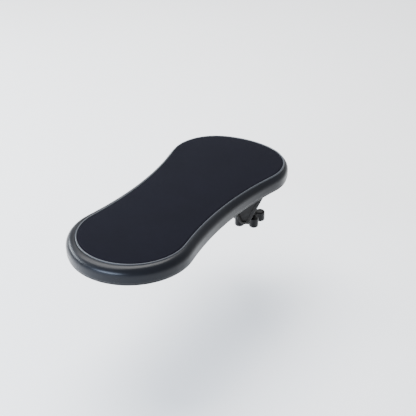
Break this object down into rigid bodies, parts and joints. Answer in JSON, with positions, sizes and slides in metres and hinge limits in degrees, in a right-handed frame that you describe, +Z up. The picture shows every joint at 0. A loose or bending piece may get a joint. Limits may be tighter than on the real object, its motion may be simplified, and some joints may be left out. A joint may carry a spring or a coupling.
{
  "type": "clamp-on armrest pad",
  "caption": "Hourglass arm pad with a fabric top and moulded rim, swivelling on a small screw clamp with a lobed hand knob.",
  "frame": {"origin": "where the swivel and clamp-screw axis meets the clamping face of the upper jaw", "axes": "+Z up, +X along the pad's length towards the end that carries the clamp, -Z out of the upper jaw's clamping face"},
  "size_m": [0.29, 0.13, 0.0882],
  "materials": {
    "fabric": "tight woven polyester, matt",
    "foam": "open-cell foam",
    "bead": "soft satin strip",
    "rim": "soft-skinned moulded rim, satin",
    "board": "fibreboard",
    "cover": "fine-grained moulded plastic",
    "steel": "zinc-plated steel",
    "black_screw": "black oxide",
    "bush": "natural acetal",
    "washer": "black nylon",
    "frame": "glass-filled nylon, fine texture",
    "rubber": "matt rubber",
    "brass": "turned brass",
    "foot": "moulded nylon",
    "knob": "satin moulded knob"
  },
  "bodies": {
    "clamp": {"clamp_frame": "frame", "swivel_washer": "washer", "pivot_bolt": "steel", "inner_washer": "steel", "lock_nut": "steel", "upper_jaw_pad": "rubber", "thread_insert": "brass"},
    "pad": {"fabric_top": "fabric", "foam_cushion": "foam", "edge_bead": "bead", "rim_shell": "rim", "core_board": "board", "base_cover": "cover", "cover_screws": "black_screw", "pivot_plate": "steel", "plate_screws": "steel", "pivot_bush": "bush"},
    "foot": {"pressure_foot": "foot", "foot_rubber": "rubber", "foot_clip": "steel"},
    "screw": {"clamp_screw": "steel", "star_knob": "knob", "knob_insert": "steel", "knob_cap": "knob"}
  },
  "joints": [
    {"name": "pad_swivel", "type": "hinge", "parent": "clamp", "child": "pad", "pos_m": [0, 0, 0.0105], "axis": [0, 0, 1], "continuous": true},
    {"name": "foot_travel", "type": "slide", "parent": "clamp", "child": "foot", "axis": [0, 0, 1], "range_m": [-0.02, 0.002]},
    {"name": "knob_turn", "type": "hinge", "parent": "foot", "child": "screw", "pos_m": [0, 0, -0.016], "axis": [0, 0, 1], "range_deg": [-5760, 576]}
  ],
  "couplings": [
    {"joint": "foot_travel", "follows": "knob_turn", "m_per_rad": 0.00019894}
  ]
}
